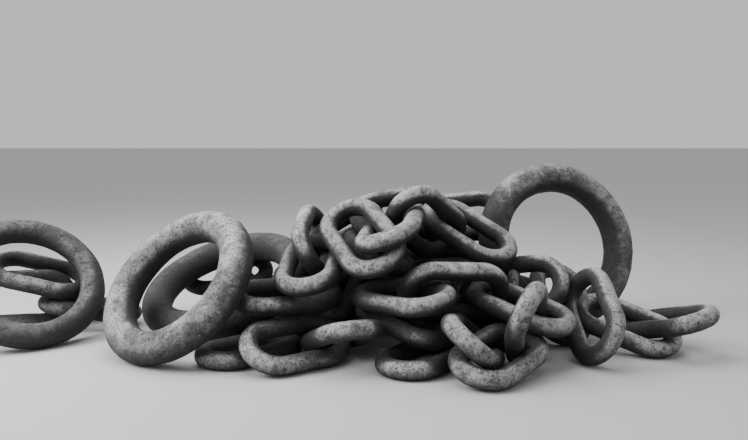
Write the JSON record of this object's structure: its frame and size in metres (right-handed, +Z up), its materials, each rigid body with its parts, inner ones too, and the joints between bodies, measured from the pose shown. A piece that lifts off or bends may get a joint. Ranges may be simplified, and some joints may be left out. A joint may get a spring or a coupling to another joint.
{
  "type": "heap of iron chain",
  "caption": "Loose heap of very heavy round-bar iron chain links, some with a stud, with large forged rings leaning and standing against it.",
  "frame": {"origin": "on the ground, under the middle of the heap's bounding box", "axes": "+X along the heap's length, to the right when seen from the front; +Y from the front to the back; +Z up"},
  "size_m": [5.2396, 2.3876, 1.2245],
  "materials": {
    "chain_iron": "weathered forged iron, rubbed lighter along the tops of the bars",
    "ring_iron": "weathered forged iron, pitted and mottled"
  },
  "bodies": {
    "root": {"back_slope_link_1": "chain_iron", "back_slope_link_2": "chain_iron", "back_slope_link_3": "chain_iron", "base_back_link_1": "chain_iron", "base_back_link_2": "chain_iron", "base_front_link_1": "chain_iron", "base_front_link_2": "chain_iron", "base_front_link_3": "chain_iron", "base_front_link_4": "chain_iron", "base_right_link_1": "chain_iron", "base_right_link_2": "chain_iron", "core_link_1": "chain_iron", "core_link_2": "chain_iron", "core_link_3": "chain_iron", "crown_arch_link": "chain_iron", "crown_back_link": "chain_iron", "crown_edge_link": "chain_iron", "crown_left_link": "chain_iron", "crown_right_link": "chain_iron", "crown_under_link": "chain_iron", "far_left_ring": "ring_iron", "far_prop_link_1": "chain_iron", "far_prop_link_2": "chain_iron", "far_prop_top_link_1": "chain_iron", "far_right_joining_link": "chain_iron", "far_right_link": "chain_iron", "flat_rest_link": "chain_iron", "front_left_cross_link": "chain_iron", "front_left_link": "chain_iron", "front_middle_ground_link": "chain_iron", "front_middle_upper_link": "chain_iron", "front_right_edge_link": "chain_iron", "front_right_inner_link": "chain_iron", "front_right_link": "chain_iron", "front_right_standing_link": "chain_iron", "front_ring": "ring_iron", "inner_link_1": "chain_iron", "inner_link_2": "chain_iron", "inner_link_3": "chain_iron", "inner_link_4": "chain_iron", "left_bridge_link": "chain_iron", "left_flat_link": "chain_iron", "left_ground_link": "chain_iron", "left_low_link": "chain_iron", "left_prop_link": "chain_iron", "middle_back_link": "chain_iron", "middle_flat_link": "chain_iron", "middle_stud_link": "chain_iron", "right_back_link": "chain_iron", "right_ring": "ring_iron", "right_slope_link": "chain_iron", "right_standing_link": "chain_iron", "right_stud_link": "chain_iron", "ring_back_link_1": "chain_iron", "ring_back_link_2": "chain_iron", "ring_side_link": "chain_iron", "second_ring": "ring_iron", "upper_left_edge_link": "chain_iron", "upper_left_link": "chain_iron"}
  },
  "joints": []
}
